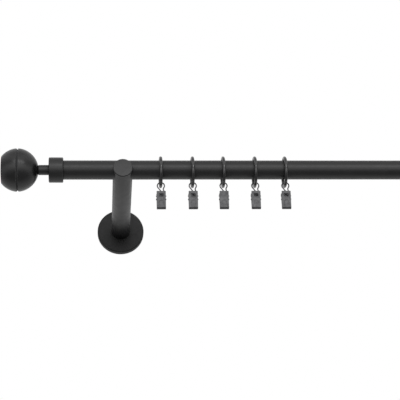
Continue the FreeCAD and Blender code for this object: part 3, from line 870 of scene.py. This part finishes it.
def make_clip_front():
    """The leaf that opens: a window in its handle and short ears inside the others."""
    obj = leaf("clip_front_pressed", -1)
    ear = rounded(
        [
            (-2.1, -1.7, 0.1),
            (0.5, -1.2, 0.4),
            (1.2, -0.5, 0.4),
            (1.2, 0.5, 0.4),
            (0.5, 1.2, 0.4),
            (-2.2, 1.5, 0.1),
        ]
    )
    add_ears(obj, ear, FRONT_EAR, FRONT_EAR + SHEET)
    half, low, high = 2.35, 2.0, 5.3
    corners = ((-half, low), (half, low), (half, high), (-half, high))
    window = rounded([(*corner, 0.35) for corner in corners])
    combine(obj, prism("window", window, "Y", -9, 0), "DIFFERENCE")
    add_rib(obj, -1)
    drill(obj, 0, PIN_RADIUS + 0.05)
    cut_teeth(obj, -1)
    soften(obj, 0.1)
    return obj


def make_pin():
    """The pin, with a domed head at each end."""
    end = 5.1
    half = rounded(
        [
            (0, PIN_RADIUS, 0),
            (end - 0.5, PIN_RADIUS, 0),
            (end - 0.5, 0.8, 0.08),
            (end - 0.2, 0.8, 0.2),
            (end, 0.45, 0.2),
            (end, 0, 0),
        ],
        closed=False,
    )
    outline = [Vector((-p.x, p.y)) for p in reversed(half[1:])] + half
    return lathe("pin_turned", outline, steps=32)


def spring_points():
    """A leg against the back handle, a coil round the pin, and a leg against the front one."""
    radius = 1.25
    half = 1.8
    turns = 6.5
    leg_height, leg_start = 3.2, 0.7
    steps = 20
    points = [Vector((half, 1.9, leg_height)), Vector((half, 1.38, leg_start))]
    count = int(turns * steps)
    for i in range(count + 1):
        angle = 2 * math.pi * i / steps
        along = half - 2 * half * i / count
        points.append(Vector((along, radius * math.cos(angle), -radius * math.sin(angle))))
    points += [Vector((-half, -1.31, leg_start)), Vector((-half, -1.56, leg_height))]
    return points


def make_springs():
    """Each coil twists between the two leaves that its legs press on."""
    for k in CLIPS:
        obj = tube(f"spring_coil_{k}", spring_points(), 0.24, sides=8)
        finish_piece(obj, clip_place(k), f"clip_spring_{k}")
        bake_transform(obj)


def make_clips():
    """The leaves, pin and spring of each clip."""
    spun(make_clip_back(), CLIPS, clip_place, lambda k: f"clip_back_{k}")
    spun(make_clip_front(), CLIPS, clip_place, lambda k: f"clip_front_{k}")
    spun(make_pin(), CLIPS, clip_place, lambda k: f"clip_pin_{k}")
    make_springs()


# ---------------------------------------------------------------- floor, sky and lights


FLOOR_SIZE = 70  # metres to each side
FLOOR_DROP = 6.0  # metres below the frame's origin


def add_floor():
    """A pale floor, far enough down for views from below."""
    bm = bmesh.new()
    bmesh.ops.create_grid(bm, x_segments=1, y_segments=1, size=FLOOR_SIZE)
    floor = new_object(bm, "floor")
    floor.location = (0.3, 0, -FLOOR_DROP)
    material = new_material("floor_pale", (0.85, 0.85, 0.85), 0.8)[0]
    floor.data.materials.append(material)
    # the studio's own light, and not the floor's, is what the black metal mirrors
    floor.visible_glossy = False
    floor.visible_diffuse = False


# the studio's greys, from below to overhead
FLOOR_GLOW = 0.3
HORIZON = 1.8
GAP = 0.5
PANEL = 1.2
CEILING = 0.5
BEHIND = 0.8
SIDE_LIGHT = 0.55  # of the strength straight ahead
KEY_POWER = 12


def add_world():
    """White to the camera, and for the lighting a studio: a pale wall behind the rod, and
    in front a dark floor, a bright horizon and a soft panel higher up."""
    world = bpy.data.worlds.new("studio")
    bpy.context.scene.world = world
    world.use_nodes = True
    tree = world.node_tree
    nodes, links = tree.nodes, tree.links
    nodes.clear()
    place = nodes.new("ShaderNodeTexCoord")
    parts = nodes.new("ShaderNodeSeparateXYZ")
    links.new(place.outputs["Generated"], parts.inputs["Vector"])
    # brightness by height in front: (sine of the elevation, grey)
    room = nodes.new("ShaderNodeValToRGB")
    lift = span(tree, parts.outputs["Z"], 0, 1, -1, 1)
    links.new(lift, room.inputs["Fac"])
    between = ((-0.5, FLOOR_GLOW), (0.0, HORIZON), (0.35, GAP), (0.7, PANEL))
    # the ramp starts with an element at each end
    elements = room.color_ramp.elements
    elements[0].color = (FLOOR_GLOW, FLOOR_GLOW, FLOOR_GLOW, 1)
    elements[-1].color = (CEILING, CEILING, CEILING, 1)
    for height, grey in between:
        elements.new((height + 1) / 2).color = (grey, grey, grey, 1)
    behind = span(tree, parts.outputs["Y"], 0, 1, -0.15, 0.35)
    mixed = blend_colours(tree, behind, room.outputs["Color"], (BEHIND, BEHIND, BEHIND))
    light = nodes.new("ShaderNodeBackground")
    links.new(mixed, light.inputs["Color"])
    # the room is darker towards its sides
    square = nodes.new("ShaderNodeMath")
    square.operation = "MULTIPLY"
    for socket in square.inputs[:2]:
        links.new(parts.outputs["X"], socket)
    strength = span(tree, square.outputs[0], 1.0, SIDE_LIGHT, 0.0, 1.0)
    links.new(strength, light.inputs["Strength"])
    seen = nodes.new("ShaderNodeBackground")
    seen.inputs["Color"].default_value = (1, 1, 1, 1)
    seen.inputs["Strength"].default_value = 1.0
    path = nodes.new("ShaderNodeLightPath")
    mix = nodes.new("ShaderNodeMixShader")
    output = nodes.new("ShaderNodeOutputWorld")
    links.new(path.outputs["Is Camera Ray"], mix.inputs["Fac"])
    links.new(light.outputs["Background"], mix.inputs[1])
    links.new(seen.outputs["Background"], mix.inputs[2])
    links.new(mix.outputs["Shader"], output.inputs["Surface"])


def add_softbox(name, place, target, width, height, power):
    """An area light at a place, aimed at a target."""
    data = bpy.data.lights.new(name, "AREA")
    data.shape = "RECTANGLE"
    data.size = width
    data.size_y = height
    data.energy = power
    lamp = bpy.data.objects.new(name, data)
    lamp.location = place
    aim = Vector(target) - Vector(place)
    lamp.rotation_euler = aim.to_track_quat("-Z", "Y").to_euler()
    bpy.context.scene.collection.objects.link(lamp)


# ---------------------------------------------------------------- the scene

add_camera()
make_rod()
for finial_side in SIDES:
    make_finial(finial_side)
make_brackets()
make_rings_and_hooks()
make_clips()
for node_name, node in frame["nodes"].items():
    node.data.materials.clear()
    node.data.materials.append(MATERIALS[slot_of[node_name]])

add_floor()
add_world()
add_softbox("key", (0.3, -2.2, 0.85), (0.2, -0.147, 0), 2.6, 0.5, KEY_POWER)
bpy.context.scene.view_settings.view_transform = "Standard"
